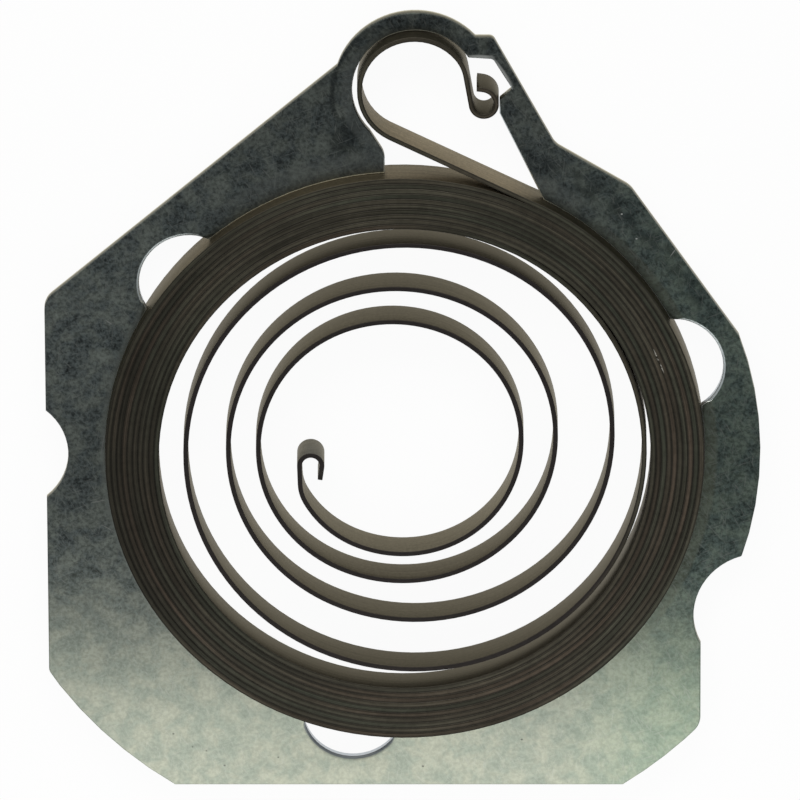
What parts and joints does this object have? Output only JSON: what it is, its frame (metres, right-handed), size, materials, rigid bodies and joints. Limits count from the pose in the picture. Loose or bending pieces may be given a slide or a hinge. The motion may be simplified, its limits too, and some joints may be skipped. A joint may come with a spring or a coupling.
{
  "type": "spiral power spring",
  "caption": "Flat spiral spring of dark steel strip with hooked ends, held in the round opening of a flat steel keeper plate; an outer loop takes a post and an inner hook takes a hub.",
  "frame": {"origin": "on the coil's axis, at the back edges of the strip, on which the part lies", "axes": "+Z out of the front, +Y towards the loop at the spring's outer end, +X to the right seen from the front"},
  "size_m": [0.0824, 0.0945, 0.005],
  "materials": {
    "plate": "dull grey plating with blotchy stains and fine rub marks",
    "strip": "dark tempered spring steel with a thin film of oil"
  },
  "bodies": {
    "root": {"keeper_plate": "plate", "power_spring": "strip"}
  },
  "joints": []
}
